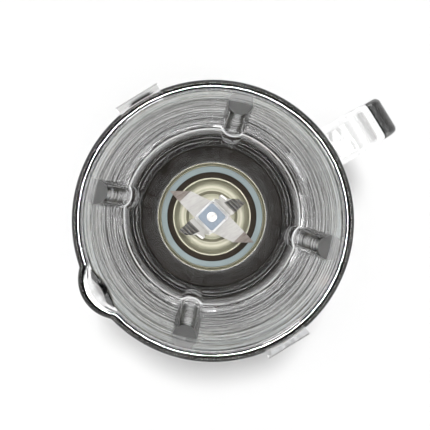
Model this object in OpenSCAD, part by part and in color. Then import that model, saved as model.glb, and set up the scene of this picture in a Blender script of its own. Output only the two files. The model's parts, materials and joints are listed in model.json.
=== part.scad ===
// Countertop blender: a clear, lidless jug standing on a round motor base.
// The origin lies on the jug and motor axis, level with the underside of the foot ring.
// +Z is up, +X the handle side, -X the spout side, -Y the control side.

/* [Jug] */
// Outer diameter of the rim bead
rim_d = 154; // [152:0.5:158]
// Inside diameter of the mouth
mouth_d = 143.2; // [141:0.2:145]
// Inside diameter of the jug where the wall meets the floor
floor_d = 111.2; // [108:0.2:114]
// Height of the jug from its neck to the rim
jug_h = 204; // [190:1:220]
// Thickness of the clear wall
wall = 3.4; // [3:0.1:3.8]
// Diameter of the opening in the floor that the blade unit plugs
opening_d = 67; // [66.6:0.1:67.4]
// How far the spout bulges past the rim bead
spout_reach = 5.6; // [4:0.2:8]
// Width of each lid lug
lug_w = 26.5; // [22:0.5:30]
// Diameter of each inner rib at the floor
rib_d = 17; // [14:0.5:19]

/* [Handle] */
// How far the handle stands out past the rim bead
handle_reach = 36; // [32:1:42]
// Width of the handle
handle_w = 22; // [18:1:26]
// Height of the handle loop
handle_h = 150; // [130:1:160]
// Thickness of the handle's upright grip
grip_t = 9.6; // [8:0.2:12]

/* [Blades] */
// Distance from the axis to the fold line of a long blade
long_fold = 20.5; // [18:0.5:22]
// Downward bend of the long blade's tips
long_bend = 10; // [4:1:12]
// Upward bend of the serrated blade's wings
wing_bend = 52; // [40:1:60]
// Thickness of the blade steel
blade_t = 1.6; // [1.2:0.1:1.8]

/* [Motor base] */
// Outer diameter of the housing at its foot
base_d = 164; // [158:1:168]
// Outer diameter of the housing at its shoulder
shoulder_d = 132; // [130:1:134]
// Height of the shoulder, where the deck starts
shoulder_z = 150; // [150:1:152]
// Thickness of the housing's steel
shell_t = 1.6; // [1.2:0.1:2]

/* [Motor] */
// Diameter of the motor shaft and of the blade shaft
shaft_d = 8; // [8:0.5:8]
// Diameter of the armature stack
armature_d = 42; // [38:1:42]
// Diameter of the stator stack
stator_d = 76; // [74:1:78]
// Height of both stacks
stack_h = 36; // [30:1:38]

/* [Controls] */
// Width of the control panel
panel_w = 62; // [60:1:66]
// Height of the control panel
panel_h = 84; // [80:1:86]
// Diameter of the speed knob
knob_d = 34; // [30:1:36]
// Diameter of each push button
button_d = 16; // [14:1:18]
// Travel of each push button
button_travel = 2.5; // [1.5:0.1:3]

/* [Hidden] */
$fn = 96;
eps = 0.01;
run_gap = 0.03;                       // radial gap of a running fit

// Heights of the jug, from the table
deck_z = shoulder_z + 14;             // the deck's flat, where the jug's collar rests
neck_z = deck_z + 22;                 // lower end of the jug's neck
ledge_z = neck_z + 13;                // underside of the jug's floor
floor_z = ledge_z + 4.3;              // top of the jug's floor at its opening
rim_z = neck_z + jug_h;
mouth_len = 12;                       // height of the straight mouth
mouth_z = rim_z - mouth_len;
wall_foot_z = floor_z + 8.6;          // where the straight wall starts
rib_top_z = rim_z - 50;

// Radii of the jug
rim_r = rim_d / 2;
mouth_r = mouth_d / 2;
floor_r = floor_d / 2;
opening_r = opening_d / 2;
neck_r = 50;
neck_bore_r = 44;
wall_lean = atan((mouth_r - floor_r) / (mouth_z - wall_foot_z));

// Collar, carrier and bearing
collar_r = 57;
collar_foot_r = 63;
skirt_r = 57;                         // inside of the collar's skirt
collar_floor_z = neck_z - 6;
carrier_z = neck_z - 2;
gasket_in_r = 27.6;
gasket_out_r = 31;
dish_r = 24;
dish_t = 0.8;
dish_z = carrier_z + 4;
sleeve_r = 12;
sleeve_top_z = ledge_z + 3;
bush_r = 5.5;
bush_len = 8;
shaft_r = shaft_d / 2;

// Blades
blade_z = floor_z + 0.9;
spigot_r = 3;
plate_side = 15.1;
plate_t = 1.5;

// Couplers
star_r = 9;
star_gap = 0.5;
star_z = deck_z;
star_h = 8;
dog_count = 4;
dog_w = 8;

// Boss of the deck, inside the collar
boss_r = 54;
boss_z = deck_z + 10;
well_r = 24;
well_z = deck_z - 8;
deck_t = 3;
post_r = 5;
post_at = 46;
foot_z = 6;                           // underside of the housing
cover_t = 3;
cover_z = foot_z + cover_t;
gland_z = 26;
gland_hole_r = 7;
gland_len = 17;
cord_r = 3.6;                         // bore for a three-core cord

// Motor, from the bottom up
shaft_foot_z = 14;
fan_z = 17;
fan_r = 36;
lower_bearing_z = 34;
lower_bracket_z = 38;
bracket_t = 6;
commutator_z = 52;
commutator_h = 18;
commutator_r = 11;
stack_z = 84;
upper_bracket_z = shoulder_z - 10;
bearing_r = 9;
bearing_h = 10;
stator_bore_r = armature_d / 2 + 0.5;
bolt_at = 34;
bolt_r = 2;
mount_at = 39;
mount_angles = [90, 210, 330];
grommet_h = 6;
brush_z = commutator_z + commutator_h / 2;

// Control panel, on its own frame: local +Z points out of the housing, local +Y up the slope
cone_tilt = atan((base_d - shoulder_d) / 2 / (shoulder_z - foot_z));
panel_z = 78;
panel_at = base_d / 2 - (panel_z - foot_z) * tan(cone_tilt);
panel_face = 4;
panel_back = -12;
panel_t = 3;
knob_y = 15;
button_x = 14;
button_y = -22;
switch_h = 5;
lens_y = 35;
board_t = 1.6;

// ---------------------------------------------------------------- shared shapes

// Points of a circular arc, for the round stretches of an outline
function arc(cx, cy, r, from, to, steps = 8) =
    [for (i = [0:steps]) let (a = from + (to - from) * i / steps) [cx + r * cos(a), cy + r * sin(a)]];

module tube(r, bore, h) {
    difference() {
        cylinder(h = h, r = r);
        translate([0, 0, -1]) cylinder(h = h + 2, r = bore);
    }
}

module rounded_rect(w, h, r) {
    square([w - 2 * r, h], center = true);
    square([w, h - 2 * r], center = true);
    for (x = [-1, 1], y = [-1, 1]) translate([x * (w / 2 - r), y * (h / 2 - r)]) circle(r = r);
}

module rounded_slab(w, h, r, t) {
    linear_extrude(height = t) rounded_rect(w, h, r);
}

module around(angles, at) {
    for (a = angles) rotate([0, 0, a]) translate([at, 0, 0]) children();
}

module on_panel(x = 0, y = 0, z = 0) {
    translate([0, -panel_at, panel_z]) rotate([90 - cone_tilt, 0, 0]) translate([x, y, z]) children();
}

// ---------------------------------------------------------------- jug

// Half section of the jug's wall, floor and neck
module jug_section() {
    fillet = 7;
    outer_r = floor_r + wall;
    polygon(concat(
        [[opening_r, ledge_z], [neck_bore_r, ledge_z], [neck_bore_r, neck_z], [neck_r, neck_z],
         [neck_r, ledge_z]],
        arc(outer_r - 4.2, ledge_z + 4, 4, -90, -wall_lean, 5),
        [[mouth_r + wall, mouth_z - 4], [rim_r, mouth_z + 1]],
        arc(rim_r - 2.7, rim_z - 2.7, 2.7, 0, 90, 5),
        [[mouth_r + 0.6, rim_z], [mouth_r, rim_z - 0.6], [mouth_r, mouth_z]],
        arc(floor_r - fillet, wall_foot_z + 1.5, fillet, -wall_lean, -82),
        [[opening_r, floor_z]]
    ));
}

// Everything inside the wall's mid-surface, from the floor to the height z
module jug_inside(z) {
    foot = ledge_z + 5.5;
    mid = floor_r + wall / 2;
    translate([0, 0, foot])
        cylinder(h = z - foot, r1 = mid - 1, r2 = mid - 1 + (z - foot) * tan(wall_lean));
}

// Four solid ribs that lean out with the wall and end in a flat top
module jug_ribs() {
    rib_r = rib_d / 2;
    crest = floor_r - 5.1;
    rib_lean = 3.6;
    intersection() {
        around([45:90:315], crest + rib_r)
            translate([0, 0, ledge_z]) rotate([0, rib_lean, 0])
                cylinder(h = rib_top_z - ledge_z + 10, r1 = rib_r, r2 = rib_r * 0.8);
        jug_inside(rib_top_z);
    }
}

// Flared cone of the spout, set in by gap for its inner face
module spout_cone(gap) {
    top_r = 22;
    h = 34;
    at = rim_r + spout_reach - top_r;
    translate([-at, 0, rim_z - h]) cylinder(h = h + (gap > 0 ? eps : 0), r1 = top_r - 10 - gap, r2 = top_r - gap);
}

// Loop of the handle in the XZ plane, with cross ridges left under its top strap
module handle_loop() {
    out_x = rim_r + handle_reach;
    top_z = rim_z - 5;
    groove = 1.6;
    length = out_x - floor_r;
    module outline(inset) {
        translate([out_x - length / 2, top_z - handle_h / 2])
            rounded_rect(length - 2 * inset, handle_h - 2 * inset, 16 - inset);
    }
    difference() {
        rotate([90, 0, 0]) translate([0, 0, -handle_w / 2]) linear_extrude(height = handle_w) difference() {
            outline(0);
            outline(grip_t);
        }
        for (x = [rim_r + 6 : 9 : out_x - 16])
            translate([x, -handle_w / 2 + 3, top_z - grip_t - 1]) cube([7.4, handle_w - 6, 1 + groove]);
    }
}

module lid_lugs() {
    lug_t = 3;
    from = mouth_r + 1.5;
    to = rim_r + lug_t;
    for (side = [-1, 1])
        translate([0, side * (from + to) / 2, rim_z - 16]) rounded_slab(lug_w, to - from, 1.2, 15.5);
}

module jug() {
    color([0.85, 0.92, 0.9, 0.4]) difference() {
        union() {
            rotate_extrude() jug_section();
            jug_ribs();
            difference() {
                union() {
                    handle_loop();
                    lid_lugs();
                    spout_cone(0);
                }
                translate([0, 0, ledge_z])
                    cylinder(h = mouth_z - ledge_z, r1 = floor_r + wall / 2 - 1, r2 = mouth_r + wall / 2);
                translate([0, 0, mouth_z - eps]) cylinder(h = mouth_len + 1, r = mouth_r + 1);
            }
        }
        spout_cone(3);
    }
}

module jug_collar() {
    color([0.07, 0.07, 0.07]) {
        difference() {
            rotate_extrude() polygon(concat(
                [[skirt_r, deck_z], [collar_foot_r, deck_z], [collar_foot_r, deck_z + 4]],
                arc(collar_r - 2, ledge_z - 2, 2, 0, 90, 4),
                [[neck_r + 0.1, ledge_z], [neck_r + 0.1, neck_z - 2], [38, neck_z - 2], [38, collar_floor_z],
                 [skirt_r, collar_floor_z]]
            ));
            around([22.5], skirt_r + 2.2) translate([0, 0, deck_z - 1]) cylinder(h = 7, r = 1.6);
        }
        // pairs of keys that the deck's dogs stand between
        for (a = [0:360 / dog_count:359], s = [-1, 1])
            rotate([0, 0, a]) translate([boss_r + 0.5, s * (dog_w / 2 + 2) - 1.5, deck_z])
                cube([skirt_r - boss_r + 0.5, 3, 10]);
    }
}

module blade_carrier() {
    color([0.1, 0.1, 0.1]) rotate_extrude() polygon([
        [sleeve_r, carrier_z], [neck_bore_r - 0.3, carrier_z], [neck_bore_r - 0.3, ledge_z],
        [opening_r - 0.4, ledge_z], [opening_r - 0.4, ledge_z - 4], [gasket_in_r, ledge_z - 4],
        [gasket_in_r, ledge_z + 0.5], [dish_r, ledge_z + 0.5], [dish_r, dish_z], [sleeve_r, dish_z]
    ]);
}

module carrier_dish() {
    color([0.85, 0.82, 0.74]) rotate_extrude() polygon(concat(
        [[sleeve_r, dish_z], [dish_r, dish_z], [dish_r, ledge_z + 0.5], [dish_r - dish_t, ledge_z + 0.5]],
        arc(dish_r - dish_t - 3, dish_z + dish_t + 3, 3, 0, -90, 5),
        [[sleeve_r + 4, dish_z + dish_t], [sleeve_r + 2, dish_z + 3], [sleeve_r, dish_z + 3]]
    ));
}

module carrier_gasket() {
    color([0.45, 0.55, 0.55]) translate([0, 0, ledge_z - 4]) tube(gasket_out_r, gasket_in_r, 6);
}

// Polished ring round the gasket, with two rolled beads, in the opening of the jug's floor
module seal_retainer() {
    bead = (opening_r - 0.1 - gasket_out_r) / 4;
    top = ledge_z + 2.4;
    color([0.85, 0.82, 0.74]) rotate_extrude() polygon(concat(
        [[gasket_out_r, ledge_z - 4], [opening_r - 0.4, ledge_z - 4], [opening_r - 0.4, ledge_z],
         [opening_r - 0.1, ledge_z]],
        arc(opening_r - 0.1 - bead, top, bead, 0, 180, 6),
        arc(gasket_out_r + bead, top, bead, 0, 180, 6)
    ));
}

module bearing_housing() {
    color([0.8, 0.8, 0.78]) difference() {
        union() {
            translate([0, 0, carrier_z - 3.5]) cylinder(h = sleeve_top_z - carrier_z + 3.5, r = sleeve_r);
            translate([0, 0, carrier_z - 3.5]) cylinder(h = 3.5, r = 17);
        }
        translate([0, 0, carrier_z - 4]) cylinder(h = sleeve_top_z, r = bush_r);
        translate([0, 0, sleeve_top_z - 3]) cylinder(h = 4, r = 8);
    }
}

module shaft_bushes() {
    color([0.72, 0.53, 0.3]) for (z = [carrier_z - 3, sleeve_top_z - 3.5 - bush_len])
        translate([0, 0, z]) tube(bush_r, shaft_r + run_gap, bush_len);
}

module shaft_seal() {
    color([0.12, 0.12, 0.12]) translate([0, 0, sleeve_top_z - 3]) difference() {
        cylinder(h = 3, r = 8);
        translate([0, 0, -1]) cylinder(h = 5, r = shaft_r + 0.05);
        translate([0, 0, 1.2]) difference() {
            cylinder(h = 3, r = 6.8);
            translate([0, 0, -eps]) cylinder(h = 3, r1 = 5.6, r2 = 4.9);
        }
    }
}

module interlock_magnet() {
    color([0.7, 0.7, 0.72]) around([22.5], skirt_r + 2.2) translate([0, 0, deck_z + 1]) cylinder(h = 5, r = 1.6);
}

// ---------------------------------------------------------------- blades

module blade_shaft() {
    color([0.82, 0.82, 0.8]) {
        translate([0, 0, deck_z + 10]) cylinder(h = blade_z - deck_z - 10, r = shaft_r);
        translate([0, 0, blade_z - eps]) cylinder(h = 2 * blade_t + plate_t + eps, r = spigot_r);
        translate([0, 0, blade_z + 2 * blade_t + plate_t]) intersection() {
            translate([0, 0, -2.2]) sphere(r = 3.8);
            cylinder(h = 2, r = 3.1);
        }
    }
}

// One wing per side; the children are laid out along +X
module both_ways(angle) {
    for (a = [0, 180]) rotate([0, 0, angle + a]) children();
}

module spigot_hole() {
    translate([0, 0, -10]) cylinder(h = 30, r = spigot_r);
}

// Flat sharpened blade, with pointed tips folded down at the fold line
module long_blade() {
    half_w = 8;
    color([0.78, 0.79, 0.8]) translate([0, 0, blade_z]) difference() {
        both_ways(103.5) {
            linear_extrude(height = blade_t) polygon([
                [-2, -half_w], [6, -half_w + 1], [10, -5.5], [long_fold, -1.9], [long_fold, half_w - 0.4],
                [-2, half_w]
            ]);
            translate([long_fold, 0, 0]) rotate([0, long_bend, 0]) linear_extrude(height = blade_t)
                polygon([[-0.3, -1.9], [8.6, 6.7], [8.6, 7.2], [-0.3, half_w - 0.4]]);
        }
        spigot_hole();
    }
}

// Serrated blade, its wings folded up steeply, each with a pointed ear
module serrated_blade() {
    root = 9;
    wing = 18.5;
    color([0.5, 0.52, 0.55]) translate([0, 0, blade_z + blade_t]) difference() {
        both_ways(13.5) {
            translate([0, -7, 0]) cube([root, 14, blade_t]);
            translate([root, 0, 0]) rotate([0, -wing_bend, 0]) linear_extrude(height = blade_t) difference() {
                polygon([[0, -7], [4, -8], [wing, -8.3], [wing - 1.6, -4], [9, 1.2], [8, 5.6], [6.5, 5.8],
                         [4, 3.5], [0, 7]]);
                for (i = [0:5]) translate([6 + 2.1 * i, -8.9]) circle(r = 0.9);
            }
        }
        spigot_hole();
    }
}

module hub_plate() {
    color([0.45, 0.5, 0.56]) translate([0, 0, blade_z + 2 * blade_t]) rotate([0, 0, 13.5]) difference() {
        rounded_slab(plate_side, plate_side, 1, plate_t);
        spigot_hole();
    }
}

module star(gap) {
    circle(r = star_r - 2 + gap);
    for (a = [0:60:300]) rotate(a) translate([0, -2 - gap]) square([star_r + gap, 4 + 2 * gap]);
}

// Cup with a star-shaped socket, pressed on the lower end of the blade shaft
module jug_coupler() {
    cup_z = star_z + 1.5;
    color([0.15, 0.15, 0.16]) difference() {
        union() {
            translate([0, 0, cup_z]) cylinder(h = star_h + 1.5, r = 14);
            translate([0, 0, cup_z + star_h + 1.5 - eps]) cylinder(h = 3, r = 10);
        }
        translate([0, 0, cup_z - 1]) linear_extrude(height = star_h + 1) star(star_gap);
        translate([0, 0, deck_z + 10]) cylinder(h = 20, r = shaft_r);
    }
}

// ---------------------------------------------------------------- rotor

module motor_shaft() {
    color([0.75, 0.75, 0.75]) translate([0, 0, shaft_foot_z])
        cylinder(h = star_z + star_h - 1 - shaft_foot_z, r = shaft_r);
}

module armature_core() {
    slots = 12;
    color([0.35, 0.36, 0.38]) translate([0, 0, stack_z]) linear_extrude(height = stack_h) difference() {
        circle(r = armature_d / 2);
        circle(r = shaft_r);
        for (i = [0:slots - 1]) rotate(i * 360 / slots) {
            translate([armature_d / 2 - 9, -2]) square([7.5, 4]);
            translate([armature_d / 2 - 3, -0.8]) square([4, 1.6]);
        }
    }
}

module armature_windings() {
    color([0.7, 0.38, 0.16]) {
        for (z = [stack_z - 9, stack_z + stack_h]) translate([0, 0, z]) rotate_extrude()
            polygon(concat([[shaft_r + 2, 0]], arc(armature_d / 2 - 5, 3, 3, -90, 0, 3),
                           arc(armature_d / 2 - 5, 6, 3, 0, 90, 3), [[shaft_r + 2, 9]]));
        for (a = [0:30:330]) rotate([0, 0, a])
            translate([armature_d / 2 - 8.6, -1.6, stack_z - 1]) cube([5.4, 3.2, stack_h + 2]);
    }
}

module commutator() {
    bars = 24;
    color([0.75, 0.45, 0.25]) translate([0, 0, commutator_z]) difference() {
        cylinder(h = commutator_h, r = commutator_r);
        translate([0, 0, -1]) cylinder(h = commutator_h + 2, r = shaft_r);
        for (i = [0:bars - 1]) rotate([0, 0, i * 360 / bars])
            translate([commutator_r - 1.2, -0.25, -1]) cube([2, 0.5, commutator_h + 2]);
    }
}

module motor_fan() {
    blades = 11;
    color([0.9, 0.88, 0.82]) translate([0, 0, fan_z]) {
        tube(9, shaft_r, 12);
        tube(fan_r, shaft_r + 1, 1.6);
        for (i = [0:blades - 1]) rotate([0, 0, i * 360 / blades])
            translate([8, -0.7, 1]) cube([fan_r - 9, 1.4, 10]);
    }
}

// Star-shaped driver on the upper end of the motor shaft
module drive_coupler() {
    color([0.78, 0.76, 0.72]) difference() {
        union() {
            translate([0, 0, star_z]) linear_extrude(height = star_h) star(0);
            translate([0, 0, star_z - 5]) cylinder(h = 5 + eps, r = 12);
        }
        translate([0, 0, star_z - 6]) cylinder(h = star_h + 5, r = shaft_r);
    }
}

// ---------------------------------------------------------------- base shells

module housing_shell() {
    h = shoulder_z - foot_z;
    color([0.78, 0.78, 0.77]) difference() {
        translate([0, 0, foot_z]) cylinder(h = h, r1 = base_d / 2, r2 = shoulder_d / 2);
        translate([0, 0, foot_z - eps])
            cylinder(h = h + 2 * eps, r1 = base_d / 2 - shell_t, r2 = shoulder_d / 2 - shell_t);
        on_panel(0, 0, panel_back - 2) rounded_slab(panel_w, panel_h, 10, 30);
        translate([0, base_d / 2 - 12, gland_z]) rotate([-90, 0, 0]) cylinder(h = 20, r = gland_hole_r);
    }
}

// Deck with the boss that enters the jug's collar, the coupler well and the screw posts
module top_deck() {
    edge = shoulder_d / 2;
    color([0.7, 0.71, 0.72]) difference() {
        union() {
            rotate_extrude() polygon(concat(
                [[edge - shell_t - 2.4, shoulder_z - 8], [edge - shell_t - 0.9, shoulder_z - 8],
                 [edge - shell_t, shoulder_z], [edge, shoulder_z]],
                arc(edge - 6, deck_z - 6, 6, 0, 90, 5),
                [[boss_r, deck_z]],
                arc(boss_r - 2, boss_z - 2, 2, 0, 90, 3),
                [[well_r + 1, boss_z], [well_r, boss_z - 1], [well_r, well_z], [6, well_z],
                 [6, well_z - deck_t], [well_r + deck_t, well_z - deck_t], [well_r + deck_t, boss_z - deck_t],
                 [boss_r - deck_t, boss_z - deck_t], [boss_r - deck_t, deck_z - deck_t],
                 [edge - 7, deck_z - deck_t], [edge - shell_t - 2.4, deck_z - 8]]
            ));
            for (a = [0:360 / dog_count:359]) rotate([0, 0, a])
                translate([boss_r - 1, -dog_w / 2, deck_z - 1]) cube([3, dog_w, 9]);
            around([45:90:315], post_at) translate([0, 0, cover_z]) cylinder(h = boss_z - deck_t + 1 - cover_z, r = post_r);
            around(mount_angles, mount_at) translate([0, 0, upper_bracket_z + bracket_t + grommet_h])
                cylinder(h = boss_z - deck_t + 1 - upper_bracket_z - bracket_t - grommet_h, r = post_r);
        }
        around([45:90:315], post_at) translate([0, 0, cover_z - 1]) cylinder(h = 21, r = bolt_r);
        around(mount_angles, mount_at) translate([0, 0, upper_bracket_z]) cylinder(h = 26, r = bolt_r);
    }
}

module bottom_cover() {
    r = base_d / 2 - shell_t - 0.9;
    color([0.12, 0.12, 0.12]) difference() {
        union() {
            translate([0, 0, foot_z]) cylinder(h = cover_t, r = r);
            translate([0, 0, foot_z + cover_t - eps]) tube(r - 0.6, r - 3, 4);
        }
        for (ring_r = [16, 24, 32]) for (a = [0:30:330]) rotate([0, 0, a + ring_r * 1.5])
            translate([ring_r - 2.5, -1.4, foot_z - 1]) cube([5, 2.8, cover_t + 2]);
        around([45:90:315], post_at) translate([0, 0, foot_z - 1]) cylinder(h = cover_t + 2, r = bolt_r + 0.3);
    }
}

module foot_ring() {
    color([0.1, 0.1, 0.1]) rotate_extrude() polygon(
        [[61, 0], [75, 0], [76.5, 1.5], [76.5, foot_z], [59.5, foot_z], [59.5, 1.5]]);
}

module cord_gland() {
    color([0.09, 0.09, 0.09]) translate([0, 0, gland_z]) rotate([-90, 0, 0]) difference() {
        union() {
            translate([0, 0, base_d / 2 - 12]) cylinder(h = gland_len, r = gland_hole_r - 0.2);
            // one lip inside the housing and one outside
            for (y = [-7.8, -0.8]) translate([0, 0, base_d / 2 + y]) cylinder(h = 2.2, r = gland_hole_r + 2);
        }
        translate([0, 0, base_d / 2 - 13]) cylinder(h = gland_len + 2, r = cord_r);
    }
}

// ---------------------------------------------------------------- stator and brackets

module coil_window() {
    rotate([0, 0, -17]) rotate_extrude(angle = 34) translate([26, 0]) square([6.4, 200]);
}

module stator_core() {
    color([0.3, 0.31, 0.33]) difference() {
        translate([0, 0, stack_z]) tube(stator_d / 2, stator_bore_r, stack_h);
        for (a = [45:90:315]) rotate([0, 0, a]) coil_window();
        around([0, 180], bolt_at) translate([0, 0, stack_z - 1]) cylinder(h = stack_h + 2, r = bolt_r + 0.2);
    }
}

// Two field coils, each a closed loop through a pair of windows
module field_coils() {
    color([0.72, 0.4, 0.18]) for (side = [90, 270]) rotate([0, 0, side]) {
        for (z = [stack_z - 9.5, stack_z + stack_h + 0.5])
            rotate([0, 0, -60]) translate([0, 0, z]) rotate_extrude(angle = 120)
                translate([26.4, 0]) square([5.6, 9]);
        for (a = [-45, 45]) rotate([0, 0, a - 15]) translate([0, 0, stack_z - 2]) rotate_extrude(angle = 30)
            translate([26.4, 0]) square([5.6, stack_h + 4]);
    }
}

module upper_bracket() {
    z = upper_bracket_z;
    color([0.62, 0.63, 0.64]) difference() {
        union() {
            translate([0, 0, z]) linear_extrude(height = bracket_t) {
                for (a = mount_angles) rotate(a) {
                    translate([bearing_r, -5.5]) square([mount_at - bearing_r, 11]);
                    translate([mount_at, 0]) circle(r = 7.2);
                }
                square([2 * bolt_at, 10], center = true);
                for (x = [-bolt_at, bolt_at]) translate([x, 0]) circle(r = 6.2);
            }
            translate([0, 0, z - 3]) cylinder(h = bearing_h + 2, r = bearing_r + 3);
            around([0, 180], bolt_at) translate([0, 0, stack_z + stack_h]) cylinder(h = z - stack_z - stack_h + 1, r = 4);
        }
        translate([0, 0, z - 5]) cylinder(h = 20, r = shaft_r + 1);
        translate([0, 0, z - 4]) cylinder(h = bearing_h + 1, r = bearing_r);
        around(mount_angles, mount_at) translate([0, 0, z - 1]) cylinder(h = bracket_t + 2, r = bolt_r + 0.6);
        around([0, 180], bolt_at) translate([0, 0, stack_z]) cylinder(h = 100, r = bolt_r + 0.2);
    }
}

module lower_bracket() {
    z = lower_bracket_z;
    color([0.62, 0.63, 0.64]) difference() {
        union() {
            for (a = [0, 180]) rotate([0, 0, a]) translate([0, -8, z]) cube([bolt_at, 16, bracket_t]);
            around([0, 180], bolt_at) translate([0, 0, z]) cylinder(h = stack_z - z, r = 4);
            for (a = [90, 270]) rotate([0, 0, a]) translate([0, -7, z]) cube([38, 14, bracket_t]);
            translate([0, 0, lower_bearing_z - 2]) cylinder(h = bearing_h + 2, r = bearing_r + 3);
        }
        translate([0, 0, 0]) cylinder(h = 100, r = shaft_r + 1);
        translate([0, 0, lower_bearing_z]) cylinder(h = bearing_h + 1, r = bearing_r);
        around([0, 180], bolt_at) translate([0, 0, z - 1]) cylinder(h = 100, r = bolt_r + 0.2);
    }
}

module motor_bearings() {
    color([0.72, 0.53, 0.3]) for (z = [lower_bearing_z, upper_bracket_z - 3])
        translate([0, 0, z]) tube(bearing_r, shaft_r + run_gap, bearing_h);
}

module motor_bolts() {
    foot = lower_bracket_z - 3;
    color([0.7, 0.7, 0.7]) around([0, 180], bolt_at) {
        translate([0, 0, foot]) cylinder(h = 3, r = 3.6);
        translate([0, 0, foot]) cylinder(h = upper_bracket_z + bracket_t + 1.5 - foot, r = bolt_r);
    }
}

// The brushes stand 0.4 mm off the commutator, which they wear in to on the real motor
brush_start = commutator_r + 0.4;
brush_len = 16;
brush_w = 6.4;
brush_h = 9;

module brush_box(grow, from, length) {
    for (a = [90, 270]) rotate([0, 0, a])
        translate([from, -brush_w / 2 - grow, brush_z - brush_h / 2 - grow])
            cube([length, brush_w + 2 * grow, brush_h + 2 * grow]);
}

module brush_holders() {
    color([0.75, 0.6, 0.3]) {
        difference() {
            brush_box(1.4, brush_start + 2, 27);
            brush_box(0.15, brush_start, 27.5);
        }
        // foot of each holder, standing on the lower bracket
        for (a = [90, 270]) rotate([0, 0, a]) translate([18, -3, lower_bracket_z + bracket_t])
            cube([16, 6, brush_z - brush_h / 2 - 1.4 - lower_bracket_z - bracket_t]);
    }
}

module carbon_brushes() {
    color([0.18, 0.18, 0.19]) brush_box(0, brush_start, brush_len);
}

module brush_springs() {
    turns = 5;
    color([0.8, 0.8, 0.82]) for (a = [90, 270]) rotate([0, 0, a]) for (i = [0:turns - 1])
        translate([brush_start + brush_len + 0.5 + 2 * i, 0, brush_z]) rotate([0, 90, 0]) tube(2.8, 1.9, 0.9);
}

// ---------------------------------------------------------------- fasteners and isolators

module isolator_grommets() {
    color([0.2, 0.2, 0.2]) around(mount_angles, mount_at)
        translate([0, 0, upper_bracket_z + bracket_t]) tube(6.5, bolt_r + 0.6, grommet_h);
}

module screw(head_r, head_h, length) {
    difference() {
        union() {
            cylinder(h = head_h, r = head_r);
            translate([0, 0, head_h - eps]) cylinder(h = length, r = bolt_r - 0.05);
        }
        for (a = [0, 90]) rotate([0, 0, a]) translate([-head_r * 0.55, -0.4, -1]) cube([head_r * 1.1, 0.8, 1 + head_h / 2]);
    }
}

module mount_screws() {
    color([0.75, 0.75, 0.75]) around(mount_angles, mount_at)
        translate([0, 0, upper_bracket_z - 2.6]) screw(4.2, 2.6, 24);
}

module cover_screws() {
    color([0.55, 0.55, 0.55]) around([45:90:315], post_at)
        translate([0, 0, foot_z - 2.4]) screw(3.8, 2.4, 20);
}

// ---------------------------------------------------------------- controls

module control_panel() {
    color([0.13, 0.13, 0.14]) on_panel() difference() {
        translate([0, 0, panel_back]) rounded_slab(panel_w, panel_h, 10, panel_face - panel_back);
        translate([0, 0, panel_back - 1])
            rounded_slab(panel_w - 5, panel_h - 5, 7.5, panel_face - panel_t - panel_back + 1);
        translate([0, knob_y, 0]) cylinder(h = 10, r = 4.2);
        for (x = [-1, 1]) translate([x * button_x, button_y, 0]) cylinder(h = 10, r = button_d / 2 + 0.3);
        translate([0, lens_y, 0]) cylinder(h = 10, r = 2);
    }
}

module control_board() {
    color([0.1, 0.35, 0.2]) on_panel(0, 0, panel_back - board_t) rounded_slab(52, 76, 2, board_t);
}

module board_components() {
    color([0.25, 0.3, 0.45]) on_panel(0, 0, panel_back - board_t) {
        translate([-12, 22, -9]) cylinder(h = 9, r = 5);
        translate([2, 14, -6]) cube([16, 14, 6]);
        translate([-20, -8, -7]) cube([12, 18, 7]);
        translate([6, -26, -5]) cube([12, 10, 5]);
    }
}

module speed_switch() {
    color([0.2, 0.2, 0.22]) on_panel(0, knob_y, panel_back) difference() {
        translate([-12, -12, 0]) cube([24, 24, panel_face - panel_t - panel_back]);
        translate([0, 0, 3]) cylinder(h = 20, r = 3 + run_gap);
    }
}

module button_switches() {
    color([0.25, 0.25, 0.27]) for (x = [-1, 1]) on_panel(x * button_x, button_y, panel_back)
        translate([-5, -5, 0]) cube([10, 10, switch_h]);
}

module indicator_lens() {
    color([0.85, 0.15, 0.1]) on_panel(0, lens_y, panel_face - panel_t) {
        cylinder(h = panel_t + 0.2, r = 2);
        translate([0, 0, -1]) cylinder(h = 1, r = 3);
    }
}

module reed_switch() {
    color([0.5, 0.7, 0.65]) rotate([0, 0, 22.5]) translate([skirt_r - 2.5, -6, deck_z - deck_t - 3])
        cube([3, 12, 3]);
}

// Two insulated leads from the board to the brush holders
module motor_leads() {
    lead_r = 1.1;
    drop_z = brush_z + 12;
    color([0.7, 0.1, 0.1]) for (side = [-1, 1]) {
        translate([side * 23, -57, drop_z]) rotate([-90, 0, 0]) cylinder(h = side > 0 ? 57 + 34 : 57 - 34, r = lead_r);
        translate([side * 23, side > 0 ? 34 : -34, drop_z]) sphere(r = lead_r);
        translate([side * 23, side > 0 ? 34 : -34, drop_z]) rotate([0, -side * 90, 0]) cylinder(h = 23, r = lead_r);
        translate([0, side * 34, drop_z]) sphere(r = lead_r);
        translate([0, side * 34, brush_z + brush_h / 2 + 1.4]) cylinder(h = drop_z - brush_z - brush_h / 2 - 1.4, r = lead_r);
    }
}

module speed_knob() {
    grip_h = 13;
    color([0.75, 0.75, 0.76]) on_panel(0, knob_y, panel_face + 0.4) {
        cylinder(h = 4, r = knob_d / 2);
        translate([0, 0, 3.9]) cylinder(h = grip_h - 3.9, r1 = knob_d / 2 - 2.5, r2 = knob_d / 2 - 4);
        translate([-1, 4, grip_h - eps]) cube([2, knob_d / 2 - 9, 0.6]);
        translate([0, 0, -13]) cylinder(h = 13.1, r = 3);
    }
}

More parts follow.
